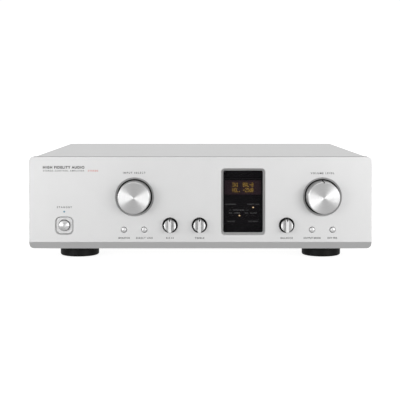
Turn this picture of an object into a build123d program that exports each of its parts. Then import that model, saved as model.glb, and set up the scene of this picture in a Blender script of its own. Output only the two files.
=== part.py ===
"""Full-width stereo control amplifier, as an assembly of separate pieces.

Millimetres, +Z up, front panel facing -Y, +X to the right of someone facing the front.
The origin is on the floor, under the middle of the whole object.
"""

import os
from build123d import *

os.makedirs("parts", exist_ok=True)

# ---------------------------------------------------------------- driving dimensions
WIDTH = 440.0  # front panel
PANEL_HEIGHT = 118.5
PANEL_THICK = 18.0
PANEL_CORNER = 5.5
PANEL_LOW = 14.0  # lower edge of the front panel above the floor
BEVEL_HEIGHT = 9.2  # undercut along the front panel's lower edge
BEVEL_DEPTH = 6.5
TOTAL_DEPTH = 430.0
KNOB_REACH = 20.0  # main knobs, in front of the panel
JACK_REACH = 9.0  # phono jacks, behind the cover

COVER_WIDTH = 434.0
COVER_DROP = 0.4  # cover's top below the panel's top edge
GROOVE_DEEP = 4.0  # shadow groove over the sub-panel, between front panel and cover
COVER_BEND = 3.5
SHEET = 2.0  # steel sheet of the cover, tray, sub-panel and rear panel
TRAY_LOW = 17.0
FLANGE_HEIGHT = 22.0

# places along the depth
FRONT = -TOTAL_DEPTH / 2 + KNOB_REACH
PANEL_BACK = FRONT + PANEL_THICK
SUB_BACK = PANEL_BACK + SHEET
REAR = TOTAL_DEPTH / 2 - JACK_REACH
REAR_FACE = REAR - 0.5  # outer face of the rear panel, just inside the cover
REAR_BACK = REAR_FACE - SHEET
BOARD_FRONT = SUB_BACK + 13.0  # front board, behind the switches and small pots
BOARD_THICK = 1.6

# heights
PANEL_TOP = PANEL_LOW + PANEL_HEIGHT
COVER_TOP = PANEL_TOP - COVER_DROP
COVER_LOW = 18.0
TRAY_TOP = TRAY_LOW + SHEET
INSIDE = COVER_WIDTH / 2 - SHEET  # half the width between the cover's sides
GAP = 0.2  # between sheet parts that lie beside each other
RUNNING = 0.05  # radial clearance of a turning or sliding shaft

# controls: (x, z) on the front panel
INPUT_AT = (-84.6, 81.2)
VOLUME_AT = (156.6, 81.2)
TONE_HEIGHT = 44.7
BASS_AT = (-39.0, TONE_HEIGHT)
TREBLE_AT = (-1.2, TONE_HEIGHT)
BALANCE_AT = (110.8, TONE_HEIGHT)
BUTTON_HEIGHT = 38.9
BUTTONS_AT = {
    "monitor_button": (-98.1, BUTTON_HEIGHT),
    "direct_button": (-72.1, BUTTON_HEIGHT),
    "mode_button": (143.4, BUTTON_HEIGHT),
    "external_button": (169.7, BUTTON_HEIGHT),
}
POWER_AT = (-174.8, 44.3)
LAMP_AT = (-174.8, 62.2)
DISPLAY_AT = (54.9, 74.9)

# main knobs and their wells
KNOB_FRONT = FRONT - KNOB_REACH
KNOB_BASE = FRONT + 6.5
KNOB_R_FRONT = 20.3
KNOB_R_BASE = 21.0
WELL_R = 22.6
WELL_MOUTH_R = 25.0
WELL_MOUTH_DEPTH = 2.2
WELL_FLOOR = FRONT + 12.0
CUP_WALL = 0.7
SHAFT_R = 3.0
BUSHING_R = 4.5
NUT_ACROSS = 13.0

# tone and balance knobs
TONE_REACH = 14.8
TONE_FRONT = FRONT - TONE_REACH
TONE_R = 8.5  # half the length of the grip ridge
TONE_DISC_R = 7.5
TONE_WELL_R = 9.7
RIDGE_HALF = 1.85
SCOOP_R = 8.0
SMALL_SHAFT_R = 2.0
SMALL_BUSHING_R = 3.5
SMALL_NUT_ACROSS = 10.0

# push buttons
BUTTON_R = 3.2
BUTTON_HOLE_R = 3.85
BUTTON_REACH = 1.5
POWER_R = 6.6
POWER_HOLE_R = 7.5
POWER_REACH = 3.0
POWER_BEZEL = 24.0
POWER_BEZEL_CORNER = 7.0
POWER_BEZEL_DEPTH = 7.5
LAMP_R = 1.2

# display
MOUTH_WIDE, MOUTH_HIGH, MOUTH_CORNER = 56.7, 85.9, 4.8
VIEW_WIDE, VIEW_HIGH, VIEW_CORNER = 50.8, 79.6, 2.2
WINDOW_DEPTH = 4.6
WINDOW_THICK = 3.0
WINDOW_MARGIN = 2.0

# feet
FOOT_X = 160.2
FOOT_FRONT_Y = FRONT + 49.0
FOOT_REAR_Y = 150.0
FOOT_R = 26.8

# rear connectors: (x, z) on the rear panel
PHONO_COLUMNS = (188.0, 166.0, 144.0, 122.0, 100.0, 74.0, 52.0, 26.0, 4.0)
PHONO_TOP, PHONO_LOW = 108.0, 86.0
PHONO_R = 4.15
XLR_HEIGHT = 46.0
XLR_IN_X = (186.0, 152.0, 118.0, 84.0)
XLR_OUT_X = (30.0, -4.0)
XLR_WIDE, XLR_HIGH = 26.0, 31.0
XLR_SCREW = (9.5, 12.0)
XLR_R = 11.8
XLR_INNER = REAR_FACE - 17.5
XLR_MOUTH = REAR_FACE + 3.0
INLET_AT = (-178.0, 50.0)
INLET_MOUTH = REAR_FACE + 3.0
INLET_EAR = 20.0
GROUND_AT = (-104.0, 97.0)
JACKS_AT = ((-138.0, 97.0), (-158.0, 97.0))
JACK_BORE_R = 1.8
PERIMETER_SCREWS = [(x, z) for x in (-200.0, -30.0, 130.0, 200.0) for z in (24.0, 125.0)]
COVER_SCREW_Y = (-150.0, 12.0, 178.0)
COVER_SCREW_Z = 30.0
SCREW_R, SCREW_HEAD_R, SCREW_HEAD = 1.5, 2.9, 1.9


def facing(y):
    """Plane at depth y that looks out of the front: its own x is X and its own y is Z."""
    return Plane.XZ.offset(-y)


def turning(at):
    """Plane through a control's axis, for a profile of (radius, y) points."""
    return Plane(origin=(at[0], 0, at[1]), x_dir=(1, 0, 0), z_dir=(0, 0, 1))


def axis_of(at):
    """Front-to-back axis through a control's place."""
    return Axis((at[0], 0, at[1]), (0, 1, 0))


def keep(piece, name):
    """Labels a finished piece and writes its STEP file."""
    piece.part.label = name
    export_step(piece.part, f"parts/{name}.step")


# ---------------------------------------------------------------- front panel
with BuildPart() as front_panel:
    with BuildSketch(facing(PANEL_BACK)):
        with Locations((0, PANEL_LOW + PANEL_HEIGHT / 2)):
            RectangleRounded(WIDTH, PANEL_HEIGHT, PANEL_CORNER)
    extrude(amount=PANEL_THICK)
    fillet(front_panel.faces().sort_by(Axis.Y)[0].edges(), radius=0.5)

    # undercut along the lower edge
    steep = BEVEL_HEIGHT / BEVEL_DEPTH
    past = 2.0
    with BuildSketch(Plane.YZ.offset(-WIDTH / 2 - past)):
        with BuildLine():
            Polyline(
                (FRONT - past, PANEL_LOW + BEVEL_HEIGHT + past * steep),
                (FRONT + BEVEL_DEPTH + past, PANEL_LOW - past * steep),
                (FRONT - past, PANEL_LOW - past * steep),
                close=True,
            )
        make_face()
    extrude(amount=WIDTH + 2 * past, mode=Mode.SUBTRACT)

    # stepped wells for the two main knobs
    for at in (INPUT_AT, VOLUME_AT):
        with BuildSketch(turning(at)):
            with BuildLine():
                Polyline(
                    (0, FRONT - past),
                    (WELL_MOUTH_R, FRONT - past),
                    (WELL_MOUTH_R, FRONT + WELL_MOUTH_DEPTH + 1.0),
                    (WELL_R + CUP_WALL, FRONT + WELL_MOUTH_DEPTH + 1.0),
                    (WELL_R + CUP_WALL, WELL_FLOOR),
                    (BUSHING_R + 0.3, WELL_FLOOR),
                    (BUSHING_R + 0.3, PANEL_BACK + past),
                    (0, PANEL_BACK + past),
                    close=True,
                )
            make_face()
        revolve(axis=axis_of(at), mode=Mode.SUBTRACT)

    # wells for the tone and balance knobs
    for at in (BASS_AT, TREBLE_AT, BALANCE_AT):
        with BuildSketch(turning(at)):
            with BuildLine():
                Polyline(
                    (0, FRONT - past),
                    (TONE_WELL_R + 0.4, FRONT - past),
                    (TONE_WELL_R + 0.4, FRONT),
                    (TONE_WELL_R, FRONT + 0.4),
                    (TONE_WELL_R, WELL_FLOOR),
                    (SMALL_BUSHING_R + 0.3, WELL_FLOOR),
                    (SMALL_BUSHING_R + 0.3, PANEL_BACK + past),
                    (0, PANEL_BACK + past),
                    close=True,
                )
            make_face()
        revolve(axis=axis_of(at), mode=Mode.SUBTRACT)

    # holes for the small buttons and the lamp
    with BuildSketch(facing(PANEL_BACK)):
        with Locations(*BUTTONS_AT.values()):
            Circle(BUTTON_HOLE_R)
        with Locations(LAMP_AT):
            Circle(LAMP_R + RUNNING)
        with Locations(POWER_AT):
            Circle(POWER_HOLE_R + GAP)
    extrude(amount=PANEL_THICK, mode=Mode.SUBTRACT)

    # pocket for the power button's surround
    with BuildSketch(facing(FRONT)):
        with Locations(POWER_AT):
            RectangleRounded(POWER_BEZEL + 0.1, POWER_BEZEL + 0.1, POWER_BEZEL_CORNER)
    extrude(amount=-POWER_BEZEL_DEPTH, mode=Mode.SUBTRACT)

    # display opening: sloping walls in front, a pocket for the window behind
    with BuildSketch(facing(FRONT)):
        with Locations(DISPLAY_AT):
            RectangleRounded(MOUTH_WIDE, MOUTH_HIGH, MOUTH_CORNER)
    with BuildSketch(facing(FRONT + WINDOW_DEPTH)):
        with Locations(DISPLAY_AT):
            RectangleRounded(VIEW_WIDE, VIEW_HIGH, VIEW_CORNER)
    loft(mode=Mode.SUBTRACT)
    with BuildSketch(facing(PANEL_BACK)):
        with Locations(DISPLAY_AT):
            Rectangle(VIEW_WIDE + 2 * WINDOW_MARGIN, VIEW_HIGH + 2 * WINDOW_MARGIN)
    extrude(amount=PANEL_THICK - WINDOW_DEPTH, mode=Mode.SUBTRACT)
keep(front_panel, "front_panel")

# ---------------------------------------------------------------- sub-panel
SUB_TOP = COVER_TOP - GROOVE_DEEP
SUB_LOW = TRAY_LOW + 1.0
with BuildPart() as sub_panel:
    with BuildSketch(facing(SUB_BACK)):
        with Locations((0, (SUB_TOP + SUB_LOW) / 2)):
            Rectangle(COVER_WIDTH - 2.0, SUB_TOP - SUB_LOW)
        with Locations(INPUT_AT, VOLUME_AT):
            Circle(BUSHING_R + 0.1, mode=Mode.SUBTRACT)
        with Locations(BASS_AT, TREBLE_AT, BALANCE_AT):
            Circle(SMALL_BUSHING_R + 0.1, mode=Mode.SUBTRACT)
        with Locations(*BUTTONS_AT.values()):
            Circle(BUTTON_R + 0.3, mode=Mode.SUBTRACT)
        with Locations(POWER_AT):
            Circle(POWER_HOLE_R, mode=Mode.SUBTRACT)
        with Locations(LAMP_AT):
            Circle(LAMP_R + 0.2, mode=Mode.SUBTRACT)
        with Locations(DISPLAY_AT):
            Rectangle(VIEW_WIDE + 7, VIEW_HIGH + 7, mode=Mode.SUBTRACT)
    extrude(amount=SHEET)
keep(sub_panel, "sub_panel")

# ---------------------------------------------------------------- chassis tray
TRAY_FRONT = SUB_BACK + GAP
TRAY_REAR = REAR_BACK - GAP
TRAY_HALF = INSIDE - GAP
with BuildPart() as chassis_base:
    with BuildSketch(facing(TRAY_REAR)):
        with BuildLine():
            Polyline(
                (-TRAY_HALF, TRAY_LOW + FLANGE_HEIGHT),
                (-TRAY_HALF, TRAY_LOW),
                (TRAY_HALF, TRAY_LOW),
                (TRAY_HALF, TRAY_LOW + FLANGE_HEIGHT),
                (TRAY_HALF - SHEET, TRAY_LOW + FLANGE_HEIGHT),
                (TRAY_HALF - SHEET, TRAY_TOP),
                (-TRAY_HALF + SHEET, TRAY_TOP),
                (-TRAY_HALF + SHEET, TRAY_LOW + FLANGE_HEIGHT),
                close=True,
            )
        make_face()
    extrude(amount=TRAY_REAR - TRAY_FRONT)
    # air slots under the power supply and under the audio boards
    with BuildSketch(Plane.XY.offset(TRAY_LOW)):
        for slots_at in ((-135.0, 30.0), (60.0, 30.0)):
            with Locations(slots_at):
                with GridLocations(9.0, 44.0, 10, 3):
                    SlotOverall(34.0, 3.2, rotation=90)
        with Locations(*((x, y) for x in (-FOOT_X, FOOT_X) for y in (FOOT_FRONT_Y, FOOT_REAR_Y))):
            Circle(2.6)
    extrude(amount=SHEET, mode=Mode.SUBTRACT)
    # fixing holes for the cover's side screws
    with BuildSketch(Plane.YZ.offset(-INSIDE)):
        with Locations(*((y, COVER_SCREW_Z) for y in COVER_SCREW_Y)):
            Circle(SCREW_R + RUNNING)
    extrude(amount=2 * INSIDE, mode=Mode.SUBTRACT)
keep(chassis_base, "chassis_base")

# ---------------------------------------------------------------- cover
COVER_FRONT = SUB_BACK + GAP
with BuildPart() as top_cover:
    with BuildSketch(facing(REAR)) as cover_outline:
        with BuildLine():
            Polyline(
                (-COVER_WIDTH / 2, COVER_LOW),
                (-COVER_WIDTH / 2, COVER_TOP),
                (COVER_WIDTH / 2, COVER_TOP),
                (COVER_WIDTH / 2, COVER_LOW),
                (INSIDE, COVER_LOW),
                (INSIDE, COVER_TOP - SHEET),
                (-INSIDE, COVER_TOP - SHEET),
                (-INSIDE, COVER_LOW),
                close=True,
            )
        make_face()
        corners = cover_outline.vertices().group_by(Axis.Y)
        fillet(corners[-1], radius=COVER_BEND)
        fillet(corners[-2], radius=COVER_BEND - SHEET)
    extrude(amount=REAR - COVER_FRONT)
    with BuildSketch(Plane.YZ.offset(-COVER_WIDTH / 2)):
        with Locations(*((y, COVER_SCREW_Z) for y in COVER_SCREW_Y)):
            Circle(SCREW_R + 0.2)
    extrude(amount=COVER_WIDTH, mode=Mode.SUBTRACT)
keep(top_cover, "top_cover")

# ---------------------------------------------------------------- rear panel
with BuildPart() as rear_panel:
    with BuildSketch(facing(REAR_FACE)):
        with Locations((0, (TRAY_LOW + COVER_TOP - SHEET) / 2)):
            Rectangle(2 * (INSIDE - GAP), COVER_TOP - SHEET - TRAY_LOW - 2 * GAP)
        with Locations(*((x, z) for x in PHONO_COLUMNS for z in (PHONO_TOP, PHONO_LOW))):
            Circle(PHONO_R + GAP, mode=Mode.SUBTRACT)
        with Locations(*((x, XLR_HEIGHT) for x in XLR_IN_X + XLR_OUT_X)):
            Circle(XLR_R + GAP, mode=Mode.SUBTRACT)
            with Locations((-XLR_SCREW[0], XLR_SCREW[1]), (XLR_SCREW[0], -XLR_SCREW[1])):
                Circle(SCREW_R + RUNNING, mode=Mode.SUBTRACT)
        with Locations(INLET_AT):
            Rectangle(28.4, 20.4, mode=Mode.SUBTRACT)
            with Locations((-INLET_EAR, 0), (INLET_EAR, 0)):
                Circle(SCREW_R + RUNNING, mode=Mode.SUBTRACT)
        with Locations(GROUND_AT):
            Circle(2.2, mode=Mode.SUBTRACT)
        with Locations(*JACKS_AT):
            Circle(3.2, mode=Mode.SUBTRACT)
        with Locations(*PERIMETER_SCREWS):
            Circle(SCREW_R + RUNNING, mode=Mode.SUBTRACT)
    extrude(amount=SHEET)
keep(rear_panel, "rear_panel")

# ---------------------------------------------------------------- screws of the case and connectors
REAR_SCREWS = [(x, REAR_FACE, z) for x, z in PERIMETER_SCREWS]
for x in XLR_IN_X + XLR_OUT_X:
    for side in (-1, 1):
        screw_at = (x + side * XLR_SCREW[0], REAR_FACE + 1.6, XLR_HEIGHT - side * XLR_SCREW[1])
        REAR_SCREWS.append(screw_at)
for side in (-1, 1):
    REAR_SCREWS.append((INLET_AT[0] + side * INLET_EAR, INLET_MOUTH, INLET_AT[1]))
SIDE_SCREWS = [
    (side * COVER_WIDTH / 2, y, COVER_SCREW_Z) for side in (-1, 1) for y in COVER_SCREW_Y
]
SCREW_SHANK = 7.0


def screw_plane(place):
    """Plane at a screw's seat with its z axis out of the head."""
    if place in SIDE_SCREWS:
        return Plane(origin=place, x_dir=(0, 1, 0), z_dir=(1 if place[0] > 0 else -1, 0, 0))
    return Plane(origin=place, x_dir=(1, 0, 0), z_dir=(0, 1, 0))


with BuildPart() as case_screws:
    for place in REAR_SCREWS + SIDE_SCREWS:
        seat = screw_plane(place)
        with BuildSketch(seat):
            Circle(SCREW_HEAD_R)
        extrude(amount=SCREW_HEAD, taper=12)
        with BuildSketch(seat):
            Circle(SCREW_R)
        extrude(amount=-SCREW_SHANK)
        with BuildSketch(seat.offset(SCREW_HEAD)):
            Rectangle(2.6, 0.55)
            Rectangle(0.55, 2.6)
        extrude(amount=-1.0, mode=Mode.SUBTRACT)
keep(case_screws, "case_screws")

# ---------------------------------------------------------------- feet
FEET = {
    "foot_front_left": (-FOOT_X, FOOT_FRONT_Y),
    "foot_front_right": (FOOT_X, FOOT_FRONT_Y),
    "foot_rear_left": (-FOOT_X, FOOT_REAR_Y),
    "foot_rear_right": (FOOT_X, FOOT_REAR_Y),
}
FOOT_STEP = 9.0  # height of the step under the foot's upper rim
FOOT_LOWER_R = 25.4
FOOT_CORNER = 2.4
FOOT_UNDER = 0.5
PAD_R, PAD_BORE_R, PAD_THICK = 19.5, 9.0, 2.5
SEAT_HEIGHT = 7.5  # where the foot screw's head bears
for name, (x, y) in FEET.items():
    with BuildPart() as foot:
        with BuildSketch(Plane(origin=(x, y, 0), x_dir=(1, 0, 0), z_dir=(0, -1, 0))):
            with BuildLine():
                Polyline(
                    (2.6, TRAY_LOW),
                    (FOOT_R, TRAY_LOW),
                    (FOOT_R, FOOT_STEP + 0.6),
                    (FOOT_R - 0.6, FOOT_STEP),
                    (FOOT_LOWER_R, FOOT_STEP),
                    (FOOT_LOWER_R, FOOT_UNDER + FOOT_CORNER),
                )
                RadiusArc(
                    (FOOT_LOWER_R, FOOT_UNDER + FOOT_CORNER),
                    (FOOT_LOWER_R - FOOT_CORNER, FOOT_UNDER),
                    FOOT_CORNER,
                )
                Polyline(
                    (FOOT_LOWER_R - FOOT_CORNER, FOOT_UNDER),
                    (PAD_R, FOOT_UNDER),
                    (PAD_R, PAD_THICK),
                    (PAD_BORE_R, PAD_THICK),
                    (PAD_BORE_R, FOOT_UNDER),
                    (6.0, FOOT_UNDER),
                    (6.0, SEAT_HEIGHT),
                    (2.6, SEAT_HEIGHT),
                    (2.6, TRAY_LOW),
                )
            make_face()
        revolve(axis=Axis((x, y, 0), (0, 0, 1)))
    keep(foot, name)

with BuildPart() as foot_pads:
    with BuildSketch(Plane.XY):
        with Locations(*FEET.values()):
            Circle(PAD_R - 0.05)
            Circle(PAD_BORE_R + 0.05, mode=Mode.SUBTRACT)
    extrude(amount=PAD_THICK)
keep(foot_pads, "foot_pads")

with BuildPart() as foot_screws:
    with BuildSketch(Plane.XY.offset(SEAT_HEIGHT - 3.5)):
        with Locations(*FEET.values()):
            Circle(5.0)
            RegularPolygon(2.2, 6, mode=Mode.SUBTRACT)
    extrude(amount=2.5)
    with BuildSketch(Plane.XY.offset(SEAT_HEIGHT - 1.0)):
        with Locations(*FEET.values()):
            Circle(5.0)
    extrude(amount=1.0)
    with BuildSketch(Plane.XY.offset(SEAT_HEIGHT)):
        with Locations(*FEET.values()):
            Circle(2.5)
    extrude(amount=14.0)
keep(foot_screws, "foot_screws")

# ---------------------------------------------------------------- main knobs
KNOB_EDGE = 0.9  # bevel round the face
KNOB_HOLLOW_R, KNOB_HUB_R = 18.0, 8.5
HUB_BACK = FRONT + 4.0
HOLLOW_FRONT = KNOB_FRONT + 9.0
SHAFT_TIP = KNOB_FRONT + 11.0
POINTER_WIDE, POINTER_DEEP = 1.6, 1.3
for name, at in (("input_knob", INPUT_AT), ("volume_knob", VOLUME_AT)):
    with BuildPart() as knob:
        with BuildSketch(turning(at)):
            with BuildLine():
                Polyline(
                    (0, KNOB_FRONT),
                    (KNOB_R_FRONT - KNOB_EDGE, KNOB_FRONT),
                    (KNOB_R_FRONT, KNOB_FRONT + KNOB_EDGE),
                    (KNOB_R_BASE, KNOB_BASE),
                    (KNOB_HOLLOW_R, KNOB_BASE),
                    (KNOB_HOLLOW_R, HOLLOW_FRONT),
                    (KNOB_HUB_R, HOLLOW_FRONT),
                    (KNOB_HUB_R, HUB_BACK),
                    (SHAFT_R + 0.02, HUB_BACK),
                    (SHAFT_R + 0.02, SHAFT_TIP),
                    (0, SHAFT_TIP),
                    close=True,
                )
            make_face()
        revolve(axis=axis_of(at))
        if name == "volume_knob":
            # pointer groove along the top of the side, cut square to the taper
            with BuildSketch(facing(KNOB_BASE + past)):
                with Locations((at[0], at[1] + KNOB_R_FRONT + 2.0)):
                    Rectangle(POINTER_WIDE, 2 * (2.0 + POINTER_DEEP))
            extrude(amount=KNOB_BASE - KNOB_FRONT + 2 * past, mode=Mode.SUBTRACT)
    keep(knob, name)

with BuildPart() as main_knob_wells:
    for at in (INPUT_AT, VOLUME_AT):
        with BuildSketch(turning(at)):
            with BuildLine():
                Polyline(
                    (WELL_MOUTH_R - 0.05, FRONT + 0.1),
                    (WELL_MOUTH_R - 0.05, FRONT + WELL_MOUTH_DEPTH + 1.0),
                    (WELL_R + CUP_WALL - 0.05, FRONT + WELL_MOUTH_DEPTH + 1.0),
                    (WELL_R + CUP_WALL - 0.05, WELL_FLOOR),
                    (NUT_ACROSS / 2 + 2.0, WELL_FLOOR),
                    (NUT_ACROSS / 2 + 2.0, WELL_FLOOR - 0.8),
                    (WELL_R, WELL_FLOOR - 0.8),
                    (WELL_R, FRONT + WELL_MOUTH_DEPTH),
                    close=True,
                )
            make_face()
        revolve(axis=axis_of(at))
keep(main_knob_wells, "main_knob_wells")

ENCODER_DEEP, ENCODER_WIDE = 18.0, 24.0
BUSHING_TIP = WELL_FLOOR - 3.0
for body_name, shaft_name, at in (
    ("input_encoder", "input_shaft", INPUT_AT),
    ("volume_control", "volume_shaft", VOLUME_AT),
):
    with BuildPart() as control:
        with BuildSketch(facing(SUB_BACK)):
            with Locations(at):
                RectangleRounded(ENCODER_WIDE, ENCODER_WIDE, 2.0)
        extrude(amount=-ENCODER_DEEP)
        with BuildSketch(facing(SUB_BACK)):
            with Locations(at):
                Circle(BUSHING_R)
        extrude(amount=SUB_BACK - BUSHING_TIP)
        with BuildSketch(facing(SUB_BACK + ENCODER_DEEP - 4.0)):
            with Locations(at):
                Circle(SHAFT_R + RUNNING)
        extrude(amount=SUB_BACK + ENCODER_DEEP - BUSHING_TIP, mode=Mode.SUBTRACT)
    keep(control, body_name)

    with BuildPart() as shaft:
        with BuildSketch(facing(SUB_BACK + ENCODER_DEEP - 4.5)):
            with Locations(at):
                Circle(SHAFT_R)
        extrude(amount=SUB_BACK + ENCODER_DEEP - 4.5 - SHAFT_TIP - 0.5)
    keep(shaft, shaft_name)

# ---------------------------------------------------------------- tone and balance knobs
TONE_BASE = KNOB_BASE
TONE_NUT_ROOM = 2.4
TONE_SHAFT_TIP = TONE_FRONT + 6.0
SCOOP_X = RIDGE_HALF + SCOOP_R
NOTCH_LONG, NOTCH_DEEP = 3.4, 6.0
for name, at in (("bass_knob", BASS_AT), ("treble_knob", TREBLE_AT), ("balance_knob", BALANCE_AT)):
    with BuildPart() as knob:
        with BuildSketch(turning(at)):
            with BuildLine():
                Polyline(
                    (0, TONE_FRONT),
                    (TONE_R - 0.8, TONE_FRONT),
                    (TONE_R - 0.2, TONE_FRONT + 0.6),
                    (TONE_R, TONE_BASE),
                    (6.3, TONE_BASE),
                    (6.3, TONE_BASE - TONE_NUT_ROOM),
                    (SMALL_SHAFT_R + 0.02, TONE_BASE - TONE_NUT_ROOM),
                    (SMALL_SHAFT_R + 0.02, TONE_SHAFT_TIP),
                    (0, TONE_SHAFT_TIP),
                    close=True,
                )
            make_face()
        revolve(axis=axis_of(at))
        # a hollow scooped out of each side leaves the grip ridge
        with BuildSketch(Plane.XY.offset(at[1] - 2 * TONE_R)):
            with Locations((at[0] - SCOOP_X, TONE_FRONT + 0.8), (at[0] + SCOOP_X, TONE_FRONT + 0.8)):
                Circle(SCOOP_R)
        extrude(amount=4 * TONE_R, mode=Mode.SUBTRACT)
        # the disc is rounder and smaller than the ridge is long
        with BuildSketch(facing(TONE_BASE)):
            with Locations(at):
                Circle(TONE_DISC_R)
                Rectangle(2 * RIDGE_HALF, 2 * TONE_R)
        extrude(amount=TONE_BASE - TONE_FRONT, mode=Mode.INTERSECT)
        # pointer notch in the ridge's upper end
        with BuildSketch(facing(TONE_FRONT + NOTCH_DEEP)):
            with BuildLine():
                Polyline(
                    (at[0] - 1.3, at[1] + TONE_R + 0.5),
                    (at[0] + 1.3, at[1] + TONE_R + 0.5),
                    (at[0], at[1] + TONE_R - NOTCH_LONG),
                    close=True,
                )
            make_face()
        extrude(amount=NOTCH_DEEP + past, mode=Mode.SUBTRACT)
    keep(knob, name)

with BuildPart() as tone_knob_wells:
    for at in (BASS_AT, TREBLE_AT, BALANCE_AT):
        with BuildSketch(turning(at)):
            with BuildLine():
                Polyline(
                    (TONE_WELL_R - 0.05, FRONT + 0.6),
                    (TONE_WELL_R - 0.05, WELL_FLOOR),
                    (6.6, WELL_FLOOR),
                    (6.6, WELL_FLOOR - 0.8),
                    (TONE_WELL_R - 0.6, WELL_FLOOR - 0.8),
                    (TONE_WELL_R - 0.6, FRONT + 0.6),
                    close=True,
                )
            make_face()
        revolve(axis=axis_of(at))
keep(tone_knob_wells, "tone_knob_wells")

POT_WIDE, POT_DEEP = 16.5, 12.6
SMALL_BUSHING_TIP = WELL_FLOOR - 2.6
with BuildPart() as tone_potentiometers:
    with BuildSketch(facing(SUB_BACK)):
        with Locations(BASS_AT, TREBLE_AT, BALANCE_AT):
            RectangleRounded(POT_WIDE, POT_WIDE, 1.5)
    extrude(amount=-POT_DEEP)
    with BuildSketch(facing(SUB_BACK)):
        with Locations(BASS_AT, TREBLE_AT, BALANCE_AT):
            Circle(SMALL_BUSHING_R)
    extrude(amount=SUB_BACK - SMALL_BUSHING_TIP)
    with BuildSketch(facing(SUB_BACK + POT_DEEP - 3.0)):
        with Locations(BASS_AT, TREBLE_AT, BALANCE_AT):
            Circle(SMALL_SHAFT_R + RUNNING)
    extrude(amount=SUB_BACK + POT_DEEP - SMALL_BUSHING_TIP, mode=Mode.SUBTRACT)
keep(tone_potentiometers, "tone_potentiometers")

for name, at in (("bass_shaft", BASS_AT), ("treble_shaft", TREBLE_AT), ("balance_shaft", BALANCE_AT)):
    with BuildPart() as shaft:
        with BuildSketch(facing(SUB_BACK + POT_DEEP - 3.5)):
            with Locations(at):
                Circle(SMALL_SHAFT_R)
        extrude(amount=SUB_BACK + POT_DEEP - 3.5 - TONE_SHAFT_TIP - 0.5)
    keep(shaft, name)

with BuildPart() as control_nuts:
    for places, across, bore, thick in (
        ((INPUT_AT, VOLUME_AT), NUT_ACROSS, BUSHING_R, 2.2),
        ((BASS_AT, TREBLE_AT, BALANCE_AT), SMALL_NUT_ACROSS, SMALL_BUSHING_R, 1.8),
    ):
        with BuildSketch(facing(WELL_FLOOR)):
            with Locations(*places):
                RegularPolygon(across / 2, 6, major_radius=False)
                Circle(bore + 0.02, mode=Mode.SUBTRACT)
        extrude(amount=thick)
keep(control_nuts, "control_nuts")

# ---------------------------------------------------------------- push buttons
COLLAR_FRONT = SUB_BACK + 0.3
COLLAR_THICK = 1.4
SWITCH_FRONT = BOARD_FRONT - 8.0
STEM_TIP = SWITCH_FRONT + 2.0
SWITCH_BORE = 4.6
STEM_R, POWER_STEM_R = 1.2, 2.0


def button_profile(radius, reach, collar, stem, dome):
    """Closed (radius, y) outline of a button: domed cap, retaining collar and stem."""
    tip = FRONT - reach
    cap = ThreePointArc((0, tip), (radius * 0.55, tip + dome * 0.3), (radius, tip + dome))
    rest = Polyline(
        (radius, tip + dome),
        (radius, COLLAR_FRONT),
        (collar, COLLAR_FRONT),
        (collar, COLLAR_FRONT + COLLAR_THICK),
        (stem, COLLAR_FRONT + COLLAR_THICK),
        (stem, STEM_TIP),
        (0, STEM_TIP),
        (0, tip),
    )
    return [cap, rest]


for name, at in BUTTONS_AT.items():
    with BuildPart() as button:
        with BuildSketch(turning(at)):
            with BuildLine():
                button_profile(BUTTON_R, BUTTON_REACH, BUTTON_R + 1.3, STEM_R, 0.5)
            make_face()
        revolve(axis=axis_of(at))
    keep(button, name)

with BuildPart() as power_button:
    with BuildSketch(turning(POWER_AT)):
        with BuildLine():
            button_profile(POWER_R, POWER_REACH, POWER_R + 2.6, POWER_STEM_R, 1.5)
        make_face()
    revolve(axis=axis_of(POWER_AT))
keep(power_button, "power_button")

# surround of the power button: a rounded square dish
DISH_DEPTH = 1.8
with BuildPart() as power_bezel:
    with BuildSketch(facing(FRONT + POWER_BEZEL_DEPTH)):
        with Locations(POWER_AT):
            RectangleRounded(POWER_BEZEL, POWER_BEZEL, POWER_BEZEL_CORNER)
    extrude(amount=POWER_BEZEL_DEPTH - 0.1)
    with BuildSketch(facing(FRONT + 0.1)):
        with Locations(POWER_AT):
            RectangleRounded(POWER_BEZEL - 0.8, POWER_BEZEL - 0.8, POWER_BEZEL_CORNER - 0.4)
    with BuildSketch(facing(FRONT + 0.1 + DISH_DEPTH)):
        with Locations(POWER_AT):
            RectangleRounded(POWER_BEZEL - 3.6, POWER_BEZEL - 3.6, POWER_BEZEL_CORNER - 1.2)
    loft(mode=Mode.SUBTRACT)
    with BuildSketch(facing(FRONT + POWER_BEZEL_DEPTH)):
        with Locations(POWER_AT):
            Circle(POWER_HOLE_R)
    extrude(amount=POWER_BEZEL_DEPTH, mode=Mode.SUBTRACT)
keep(power_bezel, "power_bezel")

with BuildPart() as push_switches:
    for places, wide, stem in (
        (tuple(BUTTONS_AT.values()), 8.0, STEM_R),
        ((POWER_AT,), 15.0, POWER_STEM_R),
    ):
        with BuildSketch(facing(BOARD_FRONT)):
            with Locations(*places):
                RectangleRounded(wide, wide, 0.8)
        extrude(amount=BOARD_FRONT - SWITCH_FRONT)
        with BuildSketch(facing(SWITCH_FRONT)):
            with Locations(*places):
                Circle(stem + RUNNING)
        extrude(amount=-SWITCH_BORE, mode=Mode.SUBTRACT)
keep(push_switches, "push_switches")

with BuildPart() as power_light_guide:
    with BuildSketch(facing(BOARD_FRONT - 1.0)):
        with Locations(LAMP_AT):
            Circle(LAMP_R)
    extrude(amount=BOARD_FRONT - 1.0 - FRONT + 0.3)
    fillet(power_light_guide.faces().sort_by(Axis.Y)[0].edges(), radius=0.3)
keep(power_light_guide, "power_light_guide")

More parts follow.
